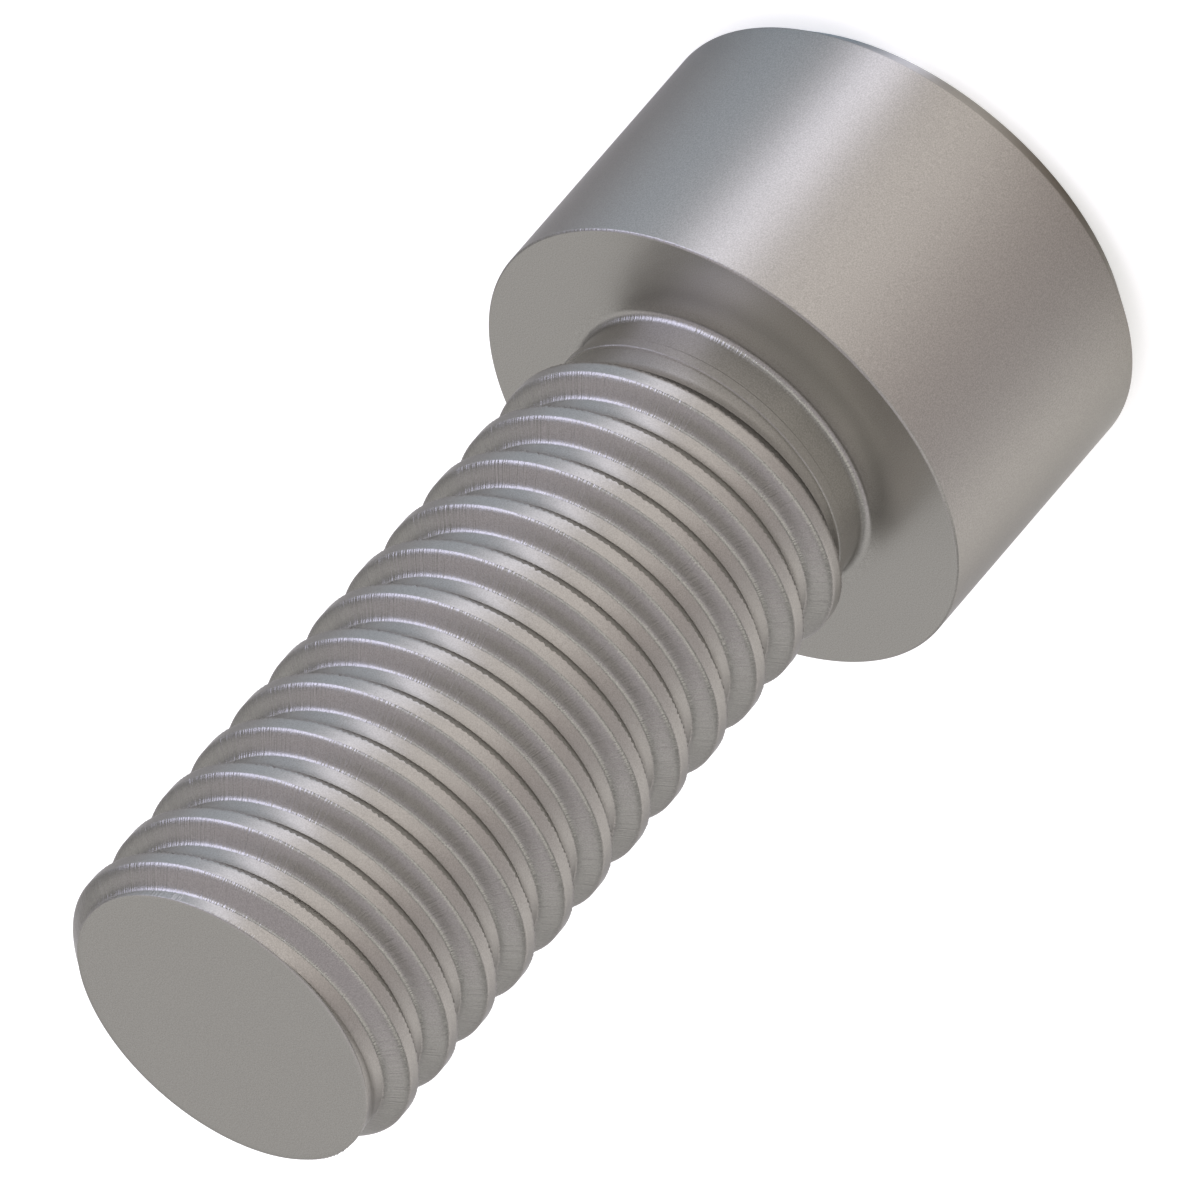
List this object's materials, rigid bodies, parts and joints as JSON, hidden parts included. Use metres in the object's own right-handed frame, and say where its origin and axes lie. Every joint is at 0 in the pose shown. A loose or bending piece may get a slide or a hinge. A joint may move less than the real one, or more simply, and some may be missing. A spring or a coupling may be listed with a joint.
{
  "type": "socket head cap screw",
  "caption": "Steel cap screw with a tall cylindrical head, a blind hex socket, and a right-hand thread over nearly all of its shank.",
  "frame": {"origin": "centre of the bearing face under the head", "axes": "+Z along the screw's axis, towards the tip; the socket's corners are on the X axis"},
  "size_m": [0.0116, 0.0116, 0.0254],
  "materials": {
    "steel": "satin"
  },
  "bodies": {
    "root": {"screw": "steel"}
  },
  "joints": []
}
